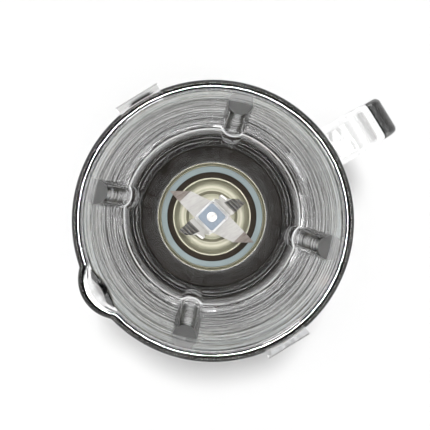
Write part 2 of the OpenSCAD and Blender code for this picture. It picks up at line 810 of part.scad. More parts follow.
module push_button() {
    r = button_d / 2;
    stem_z = panel_back + switch_h + button_travel + 0.15;
    color([0.82, 0.82, 0.82]) rotate_extrude() polygon(concat(
        [[0, stem_z], [3, stem_z], [3, -1.2], [r + 1.4, -1.2], [r + 1.4, panel_face - panel_t - 0.3],
         [r, panel_face - panel_t - 0.3]],
        arc(r - 1.2, panel_face + 3 - 1.2, 1.2, 0, 90, 4),
        [[0, panel_face + 3]]
    ));
}

module pulse_button() {
    on_panel(-button_x, button_y) push_button();
}

module ice_button() {
    on_panel(button_x, button_y) push_button();
}

jug();
jug_collar();
blade_carrier();
carrier_dish();
carrier_gasket();
seal_retainer();
bearing_housing();
shaft_bushes();
shaft_seal();
interlock_magnet();
blade_shaft();
long_blade();
serrated_blade();
hub_plate();
jug_coupler();
motor_shaft();
armature_core();
armature_windings();
commutator();
motor_fan();
drive_coupler();
housing_shell();
top_deck();
bottom_cover();
foot_ring();
cord_gland();
stator_core();
field_coils();
upper_bracket();
lower_bracket();
motor_bearings();
motor_bolts();
brush_holders();
carbon_brushes();
brush_springs();
isolator_grommets();
mount_screws();
cover_screws();
control_panel();
control_board();
board_components();
speed_switch();
button_switches();
indicator_lens();
reed_switch();
motor_leads();
speed_knob();
pulse_button();
ice_button();
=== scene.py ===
import json
import math

import bmesh
import bpy
from mathutils import Matrix, Vector


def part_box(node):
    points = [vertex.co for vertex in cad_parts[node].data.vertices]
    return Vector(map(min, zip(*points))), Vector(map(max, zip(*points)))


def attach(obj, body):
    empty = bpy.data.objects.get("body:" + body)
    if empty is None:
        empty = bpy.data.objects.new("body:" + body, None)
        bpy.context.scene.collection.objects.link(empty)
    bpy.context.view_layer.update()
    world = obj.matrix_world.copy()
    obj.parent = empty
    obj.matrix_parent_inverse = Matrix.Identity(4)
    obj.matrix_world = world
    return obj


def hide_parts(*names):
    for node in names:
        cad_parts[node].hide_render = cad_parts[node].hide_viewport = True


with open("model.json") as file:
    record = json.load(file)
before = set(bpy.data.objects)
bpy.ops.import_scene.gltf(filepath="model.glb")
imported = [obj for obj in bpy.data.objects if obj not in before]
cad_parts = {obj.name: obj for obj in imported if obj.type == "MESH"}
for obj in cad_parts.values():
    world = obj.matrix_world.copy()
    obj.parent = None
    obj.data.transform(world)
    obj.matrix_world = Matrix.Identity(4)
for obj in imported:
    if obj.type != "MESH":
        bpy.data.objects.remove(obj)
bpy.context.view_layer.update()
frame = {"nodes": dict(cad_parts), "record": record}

# ---------------------------------------------------------------- sizes, in mm

MM = 0.001


def corners_mm(node):
    """Lowest and highest corner of a CAD node."""
    low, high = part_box(node)
    return low / MM, high / MM


jug_low, jug_high = corners_mm("jug")
plate_low, plate_high = corners_mm("hub_plate")
retainer_high = corners_mm("seal_retainer")[1]

# Lid lugs, one slab on each side of the rim.
LUG_PROUD = 3.0
LUG_HALF_W = 13.25
LUG_H = 16.0
LUG_DROP = 0.5
LUG_EDGE_R = 0.7

# Rim and mouth. Each bead point is how far it is in from the rim and above the mouth's foot.
RIM_Z = jug_high.z
RIM_R = jug_high.y - LUG_PROUD
RIM_T = 5.4
RIM_EDGE_R = 2.7
RIM_EDGE_START = 6
BEAD_POINTS = ((0.9, -1.5), (0.2, 0.0), (0.0, 2.0))
BEAD_BELOW = 4.0
MOUTH_R = RIM_R - RIM_T
MOUTH_Z = RIM_Z - 12
MOUTH_EDGE_R = 1.0
LUG_TOP_Z = RIM_Z - LUG_DROP

# Wall, floor and neck. The opening's corner is how far out from it and up from the ledge.
WALL = 3.4
NECK_Z = jug_low.z
NECK_R = 50.0
NECK_BORE_R = 44.0
NECK_EDGE_R = 1.0
LEDGE_Z = NECK_Z + 13
FLOOR_Z = LEDGE_Z + 4.3
FLOOR_R = 55.6
FLOOR_SLOPE = math.radians(8.1)
OPENING_R = retainer_high.x + 0.1
OPENING_EDGE_R = 0.5
OPENING_CORNER = ((0.0, 2.0), (0.0, 0.4), (0.12, 0.12))
WALL_FOOT_Z = FLOOR_Z + 8.6
OUTER_FOOT_R = 4.0
OUTER_FOOT_INSET = 4.2
WALL_LEAN = math.atan((MOUTH_R - FLOOR_R) / (MOUTH_Z - WALL_FOOT_Z))

# Ribs. Each step of a rib's flat top is a share of its width, and a drop that rounds its edge.
RIB_SPACING = 90
RIB_TOP_Z = RIM_Z - 50
RIB_R = 8.5
RIB_TAPER = 0.19
RIB_LEAN = math.radians(3.6)
RIB_REACH = 5.1
RIB_BLEND = 1.6
RIB_MARGIN = 3
RIB_TOP_STEPS = ((0.35, 0.03), (0.7, 0.06), (0.93, 0.1), (0.99, 0.25))
RIB_TOP_DROP = 0.6

# Fillet between wall and floor, wider under the ribs.
FILLET_R = 7
FILLET_MORE = 2.5
FILLET_FULL_AT = 4

# Columns of the jug's mesh, in degrees: how near a rib's or the spout's middle they are denser,
# how many times, and how close a pair of columns stands on each side of a lug's edge.
NEAR_RIB = 12
NEAR_SPOUT = 15
DENSER = 3
LUG_EDGE_GAP = 0.06
SHARP_FROM = 35

# Glass surface. Frost and waves start and are full at these distances, below a rib's top and
# inside the wall. The waves fade between two heights.
GLASS_TINT = (0.86, 0.88, 0.86, 1)
GLASS_DENSITY = 3.0
FROST_EDGE = (0.7, 0.3)
FROST_ROUGHNESS = 0.5
FLAT_FACING = 0.8
STEEP_FACING = (0.15, 0.45)
WAVE_EDGE = (0.9, 0.2)
WAVE_FADE_Z = (LEDGE_Z + 50, RIM_Z - 25)
WAVE_LEFT_AT_RIM = 0.12
WAVE_DEPTH = 1.6
WAVE_SCALE = 11
WAVE_STRETCH = (1, 1, 7)

# Handle.
HANDLE_X = jug_high.x
HANDLE_TOP_Z = RIM_Z - 5
HANDLE_H = 150.0
HANDLE_W = 22.0
HANDLE_BEND_R = 16
HANDLE_EDGE_R = 3.2
HANDLE_ROOT = 2.7
HANDLE_FOOT = 4.7
GRIP_T = 9.6
GROOVES_AT = (10, 14.4)
GROOVE_W = 0.8
GROOVE_DEPTH = 1.6
GROOVE_MARGIN = 4

# Spout, a cone that leans out of the rim.
SPOUT_X = -jug_low.x
SPOUT_TOP_R = 22.0
SPOUT_H = 34.0
SPOUT_TAPER = 10
SPOUT_WALL = 3
SPOUT_BLEND = 0.8
SPOUT_RIM_BLEND = 0.4

# Blade unit. Turns are in degrees about the shaft. Each level of the plate's bevel is how far in
# from its side and below its top.
SHORT_BLADE_TURN = 13.5
LONG_BLADE_TURN = 103.5
LONG_FOLD = 20.5
WING_START = 11.5
WING_SIDE = 5.6
WING_SWEEP = 0.4
SERRATION_PITCH = 1.9
PLATE_SIDE = 15.1
PLATE_CORNER = 1.33
PLATE_BEVEL = ((0.0, 0.55), (0.12, 0.42), (1.25, 0.0))
SPIGOT_R = 3.1

# ---------------------------------------------------------------- light and camera values

# Each sky stop is the sine of a height above the horizon, and a grey.
SKY_STOPS = (
    (0.0, 0.42), (0.22, 0.4), (0.38, 0.12), (0.7, 0.14), (0.73, 1.0),
    (0.8, 1.0), (0.83, 0.1), (0.93, 0.02), (1.0, 0.02),
)
SKY_STRENGTH = 3.4
GLASS_SKY_STOPS = (
    (0.0, 0.42), (0.22, 0.5), (0.45, 0.3), (0.7, 0.1), (0.83, 0.06), (0.93, 0.02), (1.0, 0.02),
)
GLASS_SKY_STRENGTH = 12.0
FLOOR_HALF_SIZE = 9e3

CAMERA_TURN = math.radians(31.5)
CAMERA_LENS = 215.6
CAMERA_SENSOR = 36
CAMERA_CLIP = (0.05, 50)
CAMERA_HEIGHT = 1.4
CAMERA_OFFSET = (-0.005, 0.020)  # to the image's right and up, in metres
TARGET_OFFSET = (0.0011, 0.0033)
IMAGE_RIGHT = Vector((math.cos(CAMERA_TURN), -math.sin(CAMERA_TURN), 0))
IMAGE_UP = Vector((math.sin(CAMERA_TURN), math.cos(CAMERA_TURN), 0))

# ---------------------------------------------------------------- mesh helpers


def link(obj):
    bpy.context.scene.collection.objects.link(obj)
    return obj


def mesh_piece(name, verts, faces, material, smooth=True):
    """A mesh object from points in mm."""
    mesh = bpy.data.meshes.new(name)
    mesh.from_pydata([Vector(v) * MM for v in verts], [], faces)
    mesh.polygons.foreach_set("use_smooth", [smooth] * len(mesh.polygons))
    mesh.materials.append(material)
    mesh.update()
    return link(bpy.data.objects.new(name, mesh))


def grid_faces(rows, columns, close_rows=True):
    """Quads of a grid of points, closed round its columns, and round its rows if asked."""
    last = rows if close_rows else rows - 1
    return [
        (
            i * columns + j,
            ((i + 1) % rows) * columns + j,
            ((i + 1) % rows) * columns + (j + 1) % columns,
            i * columns + (j + 1) % columns,
        )
        for i in range(last)
        for j in range(columns)
    ]


def arc(cx, cy, r, start, end, steps):
    """Points of an arc, in degrees, both ends included."""
    angles = [math.radians(start + (end - start) * i / steps) for i in range(steps + 1)]
    return [(cx + r * math.cos(a), cy + r * math.sin(a)) for a in angles]


def rounded_section(w, t, r, steps=5):
    """Outline of a rounded rectangle, w by t."""
    corners = (
        (w / 2 - r, t / 2 - r, 0),
        (-w / 2 + r, t / 2 - r, 90),
        (-w / 2 + r, -t / 2 + r, 180),
        (w / 2 - r, -t / 2 + r, 270),
    )
    return [point for x, y, a in corners for point in arc(x, y, r, a, a + 90, steps)]


def cutter(name, low, high):
    """Plain box, only ever used to cut another mesh."""
    corners = [
        (x, y, z) for x in (low[0], high[0]) for y in (low[1], high[1]) for z in (low[2], high[2])
    ]
    faces = [(0, 1, 3, 2), (4, 6, 7, 5), (0, 4, 5, 1), (2, 3, 7, 6), (0, 2, 6, 4), (1, 5, 7, 3)]
    box = mesh_piece(name, corners, faces, GLASS, smooth=False)
    fix_normals(box)
    return box


def fix_normals(obj):
    bm = bmesh.new()
    bm.from_mesh(obj.data)
    bmesh.ops.recalc_face_normals(bm, faces=bm.faces)
    bm.to_mesh(obj.data)
    bm.free()


def combine(obj, other, operation):
    """Applies a boolean of other to obj, and removes other."""
    modifier = obj.modifiers.new("combine", "BOOLEAN")
    modifier.operation = operation
    modifier.solver = "MANIFOLD"
    modifier.object = other
    depsgraph = bpy.context.evaluated_depsgraph_get()
    mesh = bpy.data.meshes.new_from_object(obj.evaluated_get(depsgraph))
    obj.modifiers.clear()
    obj.data = mesh
    bpy.data.objects.remove(other)


def smooth_by_angle(obj, degrees):
    """Shades smooth, but for edges sharper than the angle."""
    bm = bmesh.new()
    bm.from_mesh(obj.data)
    limit = math.radians(degrees)
    for face in bm.faces:
        face.smooth = True
    for edge in bm.edges:
        edge.smooth = len(edge.link_faces) == 2 and edge.calc_face_angle(0) < limit
    bm.to_mesh(obj.data)
    bm.free()


def smooth_min(a, b, blend):
    """The lesser of two values, rounded off over the blend where they meet."""
    h = max(blend - abs(a - b), 0) / blend
    return min(a, b) - h * h * blend / 4


def smooth_max(a, b, blend):
    return -smooth_min(-a, -b, blend)


# ---------------------------------------------------------------- materials


def color_sockets(sockets):
    """Those of a Mix node's sockets that carry color."""
    return [socket for socket in sockets if socket.type == "RGBA"]


class Shader:
    """A material with one Principled shader, and helpers that add nodes to it."""

    def __init__(self, name, color, roughness, metallic=0.0, **sockets):
        self.material = bpy.data.materials.new(name)
        self.material.use_nodes = True
        self.tree = self.material.node_tree
        self.bsdf = self.tree.nodes["Principled BSDF"]
        self.coordinates = self.node("ShaderNodeTexCoord").outputs["Object"]
        self.set("Base Color", (*color, 1))
        self.set("Roughness", roughness)
        self.set("Metallic", metallic)
        for socket, value in sockets.items():
            self.set(socket.replace("_", " "), value)

    def set(self, socket, value):
        self.bsdf.inputs[socket].default_value = value

    def drive(self, socket, source):
        """Feeds a socket of the Principled shader from another node's output."""
        self.wire(source, self.bsdf.inputs[socket])

    def node(self, kind, **settings):
        """A new node. A setting is an input's value, or else a property of the node."""
        node = self.tree.nodes.new(kind)
        for key, value in settings.items():
            if key in node.inputs:
                node.inputs[key].default_value = value
            else:
                setattr(node, key, value)
        return node

    def wire(self, source, target):
        self.tree.links.new(source, target)

    def compute(self, operation, *operands):
        """Result of a Math node. An operand is a number or another node's output."""
        node = self.node("ShaderNodeMath", operation=operation)
        for socket, operand in zip(node.inputs, operands):
            if isinstance(operand, (int, float)):
                socket.default_value = operand
            else:
                self.wire(operand, socket)
        return node.outputs["Value"]

    def map_range(self, source, start, end, low=0.0, high=1.0):
        """Goes from low to high as the source goes from start to end, and stays between them."""
        node = self.node("ShaderNodeMapRange")
        limits = {"From Min": start, "From Max": end, "To Min": low, "To Max": high}
        for key, value in limits.items():
            node.inputs[key].default_value = value
        self.wire(source, node.inputs["Value"])
        return node.outputs["Result"]

    def split(self, vector):
        """The X, Y and Z outputs of a vector."""
        node = self.node("ShaderNodeSeparateXYZ")
        self.wire(vector, node.inputs["Vector"])
        return node.outputs

    def radius(self):
        """Distance from the object's upright axis."""
        level = self.node("ShaderNodeVectorMath", operation="MULTIPLY")
        level.inputs[1].default_value = (1, 1, 0)
        self.wire(self.coordinates, level.inputs[0])
        length = self.node("ShaderNodeVectorMath", operation="LENGTH")
        self.wire(level.outputs["Vector"], length.inputs[0])
        return length.outputs["Value"]

    def along(self, axis):
        """Distance along an axis through the origin."""
        dot = self.node("ShaderNodeVectorMath", operation="DOT_PRODUCT")
        dot.inputs[1].default_value = axis
        self.wire(self.coordinates, dot.inputs[0])
        return dot.outputs["Value"]

    def noise(self, scale, detail=3.0, stretch=(1, 1, 1)):
        mapping = self.node("ShaderNodeMapping", Scale=stretch)
        noise = self.node("ShaderNodeTexNoise", Scale=scale, Detail=detail)
        self.wire(self.coordinates, mapping.inputs["Vector"])
        self.wire(mapping.outputs["Vector"], noise.inputs["Vector"])
        return noise.outputs["Fac"]

    def ramp(self, source, low, high, start=0.3, end=0.7):
        """Color that goes from low to high as the source goes from start to end."""
        ramp = self.node("ShaderNodeValToRGB")
        for element, place, color in zip(ramp.color_ramp.elements, (start, end), (low, high)):
            element.position = place
            element.color = (*color, 1)
        self.wire(source, ramp.inputs["Fac"])
        return ramp.outputs["Color"]

    def mix(self, factor, low, high):
        """Mixes two colors. Each is a tuple or another node's output."""
        node = self.node("ShaderNodeMix", data_type="RGBA")
        self.wire(factor, node.inputs["Factor"])
        for socket, color in zip(color_sockets(node.inputs), (low, high)):
            if isinstance(color, tuple):
                socket.default_value = (*color, 1)
            else:
                self.wire(color, socket)
        return color_sockets(node.outputs)[0]

    def vary_roughness(self, source, low, high):
        self.drive("Roughness", self.map_range(source, 0.0, 1.0, low, high))

    def bump(self, source, distance, strength=1.0):
        bump = self.node("ShaderNodeBump", Strength=strength, Distance=distance)
        self.wire(source, bump.inputs["Height"])
        self.drive("Normal", bump.outputs["Normal"])


def axis_at(degrees):
    """Level axis at an angle from x."""
    turn = math.radians(degrees)
    return (math.cos(turn), math.sin(turn), 0)


def scaled(color, factor):
    return tuple(min(c * factor, 1) for c in color)


def clear_glass():
    """Pressed glass, frosted on the flat top of each rib, with fine waves that run round its wall.

    The waves stop short of the ribs, and fade towards the rim.
    """
    glass = Shader("clear_glass", (1.0, 1.0, 1.0), 0.0, Transmission_Weight=1.0, IOR=1.5)
    absorb = glass.node("ShaderNodeVolumeAbsorption", Color=GLASS_TINT, Density=GLASS_DENSITY)
    glass.wire(absorb.outputs["Volume"], glass.tree.nodes["Material Output"].inputs["Volume"])

    height = glass.split(glass.coordinates)["Z"]
    facing = glass.split(glass.node("ShaderNodeNewGeometry").outputs["True Normal"])["Z"]

    near_top = glass.map_range(height, *((RIB_TOP_Z - below) * MM for below in FROST_EDGE))
    not_above = glass.compute("LESS_THAN", height, (RIB_TOP_Z + 0.02) * MM)
    at_top = glass.compute("MULTIPLY", near_top, not_above)
    faces_up = glass.compute("GREATER_THAN", facing, FLAT_FACING)
    frosted = glass.compute("MULTIPLY", at_top, faces_up)
    glass.vary_roughness(frosted, 0.0, FROST_ROUGHNESS)

    steep = glass.map_range(glass.compute("ABSOLUTE", facing), *STEEP_FACING, 1.0, 0.0)
    cone_r = glass.compute("MULTIPLY_ADD", height, -math.tan(WALL_LEAN), glass.radius())
    wall_r = (FLOOR_R - WALL_FOOT_Z * math.tan(WALL_LEAN)) * MM
    off_ribs = glass.map_range(cone_r, *(wall_r - inside * MM for inside in WAVE_EDGE))
    fade = glass.map_range(height, *(z * MM for z in WAVE_FADE_Z), 1.0, WAVE_LEFT_AT_RIM)
    depth = glass.compute("MULTIPLY", glass.compute("MULTIPLY", off_ribs, steep), fade)
    waves = glass.compute("MULTIPLY", glass.noise(WAVE_SCALE, 4, WAVE_STRETCH), depth)
    glass.bump(waves, WAVE_DEPTH * MM)
    return glass.material


def moulded(name, color, roughness, grain=900, specular=0.5):
    """Moulded plastic or rubber with a fine grain and slight colour change."""
    plastic = Shader(name, color, roughness, Specular_IOR_Level=specular)
    tint = plastic.ramp(plastic.noise(30), scaled(color, 0.85), scaled(color, 1.15))
    plastic.drive("Base Color", tint)
    fine = plastic.noise(grain, 2)
    plastic.vary_roughness(fine, roughness * 0.85, min(roughness * 1.15, 1))
    plastic.bump(fine, 0.00006, 0.6)
    return plastic.material


def metal(name, color, roughness, brush=(1, 1, 1), scale=300, depth=0.00002, metallic=1.0):
    """Metal with fine brush marks along the axis that brush squeezes least."""
    steel = Shader(name, color, roughness, metallic)
    marks = steel.noise(scale, 4, brush)
    steel.drive("Base Color", steel.ramp(marks, scaled(color, 0.9), scaled(color, 1.08)))
    steel.vary_roughness(marks, roughness * 0.75, min(roughness * 1.3, 1))
    steel.bump(marks, depth, 0.4)
    return steel.material


def spun_steel_painted_shade(name):
    """Warm polished steel with an olive cast and faint rings from spinning, whose dark olive bands
    are also painted shade.
    """
    steel = Shader(name, (0.6, 0.57, 0.45), 0.3, 0.35)
    rings = steel.node("ShaderNodeTexNoise", noise_dimensions="1D", Scale=420.0, Detail=3.0)
    steel.wire(steel.radius(), rings.inputs["W"])
    marks = rings.outputs["Fac"]
    # Painted shade: the dark olive bands of the rings, on top of the spin marks.
    steel.drive("Base Color", steel.ramp(marks, (0.16, 0.16, 0.105), (0.36, 0.345, 0.27)))
    steel.bump(marks, 0.00008, 0.4)
    return steel.material


def serrated_steel_painted_reflection(name):
    """The short blade's steel. Each wing's ground part is painted near black with lighter stripes,
    a painted dark reflection.
    """
    steel = Shader(name, (0.55, 0.54, 0.52), 0.35, 0.4)
    out_x, out_y, _ = axis_at(SHORT_BLADE_TURN)
    lengthwise = steel.along((out_x, out_y, 0))
    crosswise = steel.along((-out_y, out_x, 0))
    out = steel.compute("ABSOLUTE", lengthwise)
    side = steel.compute("MULTIPLY", crosswise, steel.compute("SIGN", lengthwise))
    past_start = steel.compute("GREATER_THAN", out, WING_START * MM)
    sweep = steel.compute("ADD", side, steel.compute("MULTIPLY", out, WING_SWEEP))
    inside = steel.compute("LESS_THAN", sweep, WING_SIDE * MM)
    wing = steel.compute("MULTIPLY", past_start, inside)
    wave = steel.compute("SINE", steel.compute("MULTIPLY", out, math.tau / (SERRATION_PITCH * MM)))
    # Painted reflection: near black with lighter stripes on the ground part of each wing.
    ground = steel.ramp(wave, (0.006, 0.005, 0.004), (0.1, 0.09, 0.07), 0.55, 0.95)
    steel.drive("Base Color", steel.mix(wing, (0.42, 0.41, 0.39), ground))
    shine = steel.compute("SUBTRACT", 0.4, steel.compute("MULTIPLY", wing, 0.4))
    steel.drive("Metallic", shine)
    steel.bump(steel.compute("MULTIPLY", wave, wing), 0.0002, 0.6)
    return steel.material


def ring_painted_light_stripes(name):
    """Polished ring with painted stripes: cream on the rolled beads as painted highlights, dark
    olive between them as painted shade.
    """
    ring = Shader(name, (0.4, 0.38, 0.28), 0.25, 0.4)
    wave = ring.compute("SINE", ring.compute("MULTIPLY", ring.radius(), math.tau / (0.8 * MM)))
    # Painted highlights on the beads and painted shade in the grooves between them.
    ring.drive("Base Color", ring.ramp(wave, (0.05, 0.05, 0.03), (0.42, 0.4, 0.3), 0.2, 0.8))
    return ring.material


def tipped_steel_painted_shade(name):
    """The long blade's steel, painted darker and browner past the fold of each tip, as shade on
    the bent tips.
    """
    steel = Shader(name, (0.46, 0.45, 0.43), 0.4, 0.4)
    out = steel.compute("ABSOLUTE", steel.along(axis_at(LONG_BLADE_TURN)))
    past_fold = steel.map_range(out, (LONG_FOLD - 0.2) * MM, (LONG_FOLD + 0.2) * MM)
    grain = steel.noise(260, 4, (1, 6, 1))
    plain = steel.ramp(grain, (0.31, 0.3, 0.29), (0.39, 0.38, 0.365))
    # Painted shade: the bent tips darker and browner.
    tip = steel.ramp(grain, (0.12, 0.1, 0.09), (0.23, 0.2, 0.18))
    steel.drive("Base Color", steel.mix(past_fold, plain, tip))
    steel.bump(grain, 0.00003, 0.5)
    return steel.material


GLASS = clear_glass()

# Color, roughness, and what differs from the maker's usual values.
MOULDED_LOOKS = {
    "black_nylon": ((0.019, 0.015, 0.012), 0.45, {"specular": 0.08}),
    "black_carrier": ((0.021, 0.0165, 0.0125), 0.5, {"specular": 0.08}),
    "grey_seal": ((0.15, 0.185, 0.19), 0.45, {"grain": 500}),
    "black_rubber": ((0.025, 0.025, 0.025), 0.75, {"grain": 700}),
    "fan_plastic": ((0.8, 0.77, 0.68), 0.5, {}),
    "deck_plastic": ((0.72, 0.725, 0.73), 0.4, {}),
    "carbon": ((0.05, 0.05, 0.055), 0.6, {}),
    "panel_plastic": ((0.035, 0.035, 0.038), 0.22, {}),
    "board": ((0.04, 0.2, 0.09), 0.4, {}),
    "components": ((0.12, 0.15, 0.26), 0.4, {}),
    "switch_plastic": ((0.07, 0.07, 0.08), 0.45, {}),
    "lens_red": ((0.6, 0.04, 0.02), 0.12, {}),
    "reed_glass": ((0.4, 0.6, 0.52), 0.15, {}),
    "lead_red": ((0.5, 0.04, 0.04), 0.5, {}),
}
METAL_LOOKS = {
    "plate_steel": ((0.2, 0.235, 0.28), 0.45, {"brush": (7, 1, 1), "metallic": 0.4}),
    "bronze": ((0.6, 0.42, 0.22), 0.45, {}),
    "magnet": ((0.6, 0.6, 0.62), 0.2, {}),
    "shaft_steel": ((0.6, 0.585, 0.56), 0.35, {"brush": (1, 1, 12), "metallic": 0.4}),
    "lamination": ((0.22, 0.22, 0.24), 0.5, {"brush": (1, 1, 40)}),
    "copper_wire": ((0.62, 0.27, 0.1), 0.35, {"brush": (1, 1, 8)}),
    "commutator_copper": ((0.65, 0.36, 0.2), 0.25, {"brush": (1, 1, 10)}),
    "coupler_metal": ((0.66, 0.65, 0.63), 0.4, {}),
    "housing_steel": ((0.72, 0.715, 0.71), 0.3, {"brush": (1, 1, 30), "scale": 60}),
    "cast_aluminium": ((0.55, 0.56, 0.57), 0.5, {"scale": 500, "depth": 0.0001}),
    "brush_brass": ((0.72, 0.56, 0.28), 0.35, {}),
    "screw_steel": ((0.6, 0.6, 0.6), 0.35, {}),
    "knob_silver": ((0.68, 0.68, 0.69), 0.32, {}),
    "button_silver": ((0.7, 0.7, 0.7), 0.3, {}),
}
SLOT_LOOKS = {"clear_jug": GLASS, "polished_steel": spun_steel_painted_shade("spun_steel_painted_shade")}
for maker, table in ((moulded, MOULDED_LOOKS), (metal, METAL_LOOKS)):
    for slot, (color, roughness, options) in table.items():
        SLOT_LOOKS[slot] = maker(slot, color, roughness, **options)

# Nodes whose look goes beyond their slot's.
NODE_LOOKS = {
    "serrated_blade": serrated_steel_painted_reflection("serrated_steel_painted_reflection"),
    "long_blade": tipped_steel_painted_shade("tipped_steel_painted_shade"),
    "seal_retainer": ring_painted_light_stripes("ring_painted_light_stripes"),
}


def dress_cad_nodes():
    """Gives every CAD node its own look, or that of its material slot."""
    for row in frame["record"]["subparts"]:
        own = NODE_LOOKS.get(row["node"])
        materials = frame["nodes"][row["node"]].data.materials
        materials.clear()
        materials.append(own or SLOT_LOOKS[row["material_slot"]])


# ---------------------------------------------------------------- glass jug


def inner_wall_r(z):
    return FLOOR_R + (z - WALL_FOOT_Z) * math.tan(WALL_LEAN)


def floor_z_at(r):
    return FLOOR_Z + (r - OPENING_R) * math.tan(FLOOR_SLOPE)


def rib_face_r(theta, z):
    """Radius of the inner surface below the ribs' tops, at an angle in degrees."""
    wall = inner_wall_r(z)
    up = (z - LEDGE_Z) / (RIB_TOP_Z - LEDGE_Z)
    rib = RIB_R * (1 - RIB_TAPER * up)
    axis = FLOOR_R - RIB_REACH + RIB_R + (z - LEDGE_Z) * math.tan(RIB_LEAN)
    off = math.radians(abs(theta % RIB_SPACING - RIB_SPACING / 2))
    side = axis * math.sin(off)
    if side > rib + RIB_MARGIN:
        return wall
    inside = rib * rib - side * side
    near = axis * math.cos(off) - math.copysign(math.sqrt(abs(inside)), inside)
    return smooth_min(near, wall, RIB_BLEND)


def spout_r(theta, z, inset):
    """Radius of the spout's cone at an angle, or 0 where there is none."""
    at = SPOUT_X - SPOUT_TOP_R
    cone = SPOUT_TOP_R - SPOUT_TAPER * (RIM_Z - z) / SPOUT_H - inset
    off = math.radians(abs(theta - 180))
    side = at * math.sin(off)
    if z < RIM_Z - SPOUT_H or off > 1 or side >= cone:
        return 0
    return at * math.cos(off) + math.sqrt(cone * cone - side * side)


def lug_r(theta, z):
    """Radius of a lid lug's flat outer face, or 0 where there is none."""
    off = math.radians(abs(theta % 180 - 90))
    flat = (RIM_R + LUG_PROUD) / math.cos(off)
    return flat if RIM_Z - LUG_H <= z <= RIM_Z and flat * math.sin(off) < LUG_HALF_W else 0


def outer_r(theta, r, z):
    return max(smooth_max(r, spout_r(theta, z, 0), SPOUT_BLEND), lug_r(theta, z))


def outside_points(theta):
    """From the floor's opening down the neck and up the outside to the rim."""
    edge = NECK_EDGE_R
    points = [(OPENING_R + 0.4, LEDGE_Z), (NECK_BORE_R - edge, LEDGE_Z)]
    points += arc(NECK_BORE_R - edge, LEDGE_Z - edge, edge, 90, 0, 3)[1:]
    points += arc(NECK_BORE_R + edge, NECK_Z + edge, edge, 180, 270, 3)
    points += arc(NECK_R - edge, NECK_Z + edge, edge, -90, 0, 3)
    points += [(NECK_R, LEDGE_Z)]
    points += arc(FLOOR_R + WALL - OUTER_FOOT_INSET, LEDGE_Z + OUTER_FOOT_R, OUTER_FOOT_R,
                  -90, -math.degrees(WALL_LEAN), 8)
    (low_r, low_z), rows = points[-1], 40
    top_r, top_z = MOUTH_R + WALL, MOUTH_Z - BEAD_BELOW
    wall = [
        (low_r + (top_r - low_r) * i / rows, low_z + (top_z - low_z) * i / rows)
        for i in range(1, rows)
    ]
    bead = [(top_r, top_z - 0.1), (top_r, top_z + 0.1)]
    bead += [(RIM_R - inward, MOUTH_Z + up) for inward, up in BEAD_POINTS]
    bead += [(RIM_R, RIM_Z - 5), (RIM_R, RIM_Z - 3)]
    return points + [(outer_r(theta, r, z), z) for r, z in wall + bead]


def rim_points(theta):
    """Over the rim's rounded top, pushed out at the spout and cut level at a lug."""
    points = arc(RIM_R - RIM_EDGE_R, RIM_Z - RIM_EDGE_R, RIM_EDGE_R, RIM_EDGE_START, 90, 9)
    points += arc(MOUTH_R + MOUTH_EDGE_R, RIM_Z - MOUTH_EDGE_R, MOUTH_EDGE_R, 90, 180, 5)
    shift = max(spout_r(theta, RIM_Z, 0) - RIM_R, 0)
    if shift:
        points = [(r + smooth_max(shift, 0, SPOUT_RIM_BLEND), z) for r, z in points]
    lug = lug_r(theta, LUG_TOP_Z)
    if lug:
        # The lug's edge and level top stand for the rim's first eight points.
        edge = arc(lug - LUG_EDGE_R, LUG_TOP_Z - LUG_EDGE_R, LUG_EDGE_R, 0, 90, 4)
        points[:8] = edge + [(RIM_R - 0.4, LUG_TOP_Z), (RIM_R - 1.05, LUG_TOP_Z), points[7]]
    return points


def inside_points(theta):
    """Down the inside from the rim, over a rib's top and foot, along the floor to its opening."""
    points = []
    start_z, rows = RIM_Z - 1.2, 28
    for i in range(rows + 1):
        z = start_z - (start_z - RIB_TOP_Z) * i / rows
        r = MOUTH_R if z > MOUTH_Z else inner_wall_r(z)
        points.append((smooth_max(r, spout_r(theta, z, SPOUT_WALL), SPOUT_BLEND), z))
    wall_r, rib_r = points[-1][0], rib_face_r(theta, RIB_TOP_Z - RIB_TOP_DROP)
    for share, drop in RIB_TOP_STEPS:
        points.append((wall_r + (rib_r - wall_r) * share, RIB_TOP_Z - drop))
    foot_face = rib_face_r(theta, WALL_FOOT_Z)
    rib_share = min((inner_wall_r(WALL_FOOT_Z) - foot_face) / FILLET_FULL_AT, 1)
    fillet = FILLET_R + FILLET_MORE * rib_share
    foot_z = floor_z_at(foot_face - fillet) + fillet / math.cos(FLOOR_SLOPE)
    start_z, rows = RIB_TOP_Z - RIB_TOP_DROP, 40
    for i in range(rows + 1):
        z = start_z + (foot_z - start_z) * i / rows
        points.append((rib_face_r(theta, z), z))
    turn = -90 + math.degrees(FLOOR_SLOPE)
    points += arc(points[-1][0] - fillet, foot_z, fillet, 0, turn, 14)[1:]
    last_r, rows = points[-1][0], 8
    for i in range(1, rows + 1):
        r = last_r + (OPENING_R + 0.6 - last_r) * i / rows
        points.append((r, floor_z_at(r)))
    points += arc(OPENING_R + OPENING_EDGE_R, FLOOR_Z - 0.45, OPENING_EDGE_R, 100, 180, 4)
    return points + [(OPENING_R + out, LEDGE_Z + up) for out, up in OPENING_CORNER]


def jug_profile(theta):
    """Closed half section of the jug at an angle. Every angle has the same number of points."""
    return outside_points(theta) + rim_points(theta) + inside_points(theta)


def jug_angles():
    """Angles of the jug's columns, closer together at the ribs, lugs and spout."""
    lug_edge = math.degrees(math.atan(LUG_HALF_W / (RIM_R + LUG_PROUD)))
    angles = []
    for i in range(360):
        near_rib = abs(i % RIB_SPACING - RIB_SPACING / 2) < NEAR_RIB
        near_spout = abs(i - 180) < NEAR_SPOUT
        steps = DENSER if near_rib or near_spout else 1
        angles += [i + j / steps for j in range(steps)]
    gaps = (-LUG_EDGE_GAP, LUG_EDGE_GAP)
    for centre in (90, 270):
        angles += [centre + side * (lug_edge + gap) for side in (-1, 1) for gap in gaps]
    return sorted(set(round(a, 4) for a in angles))


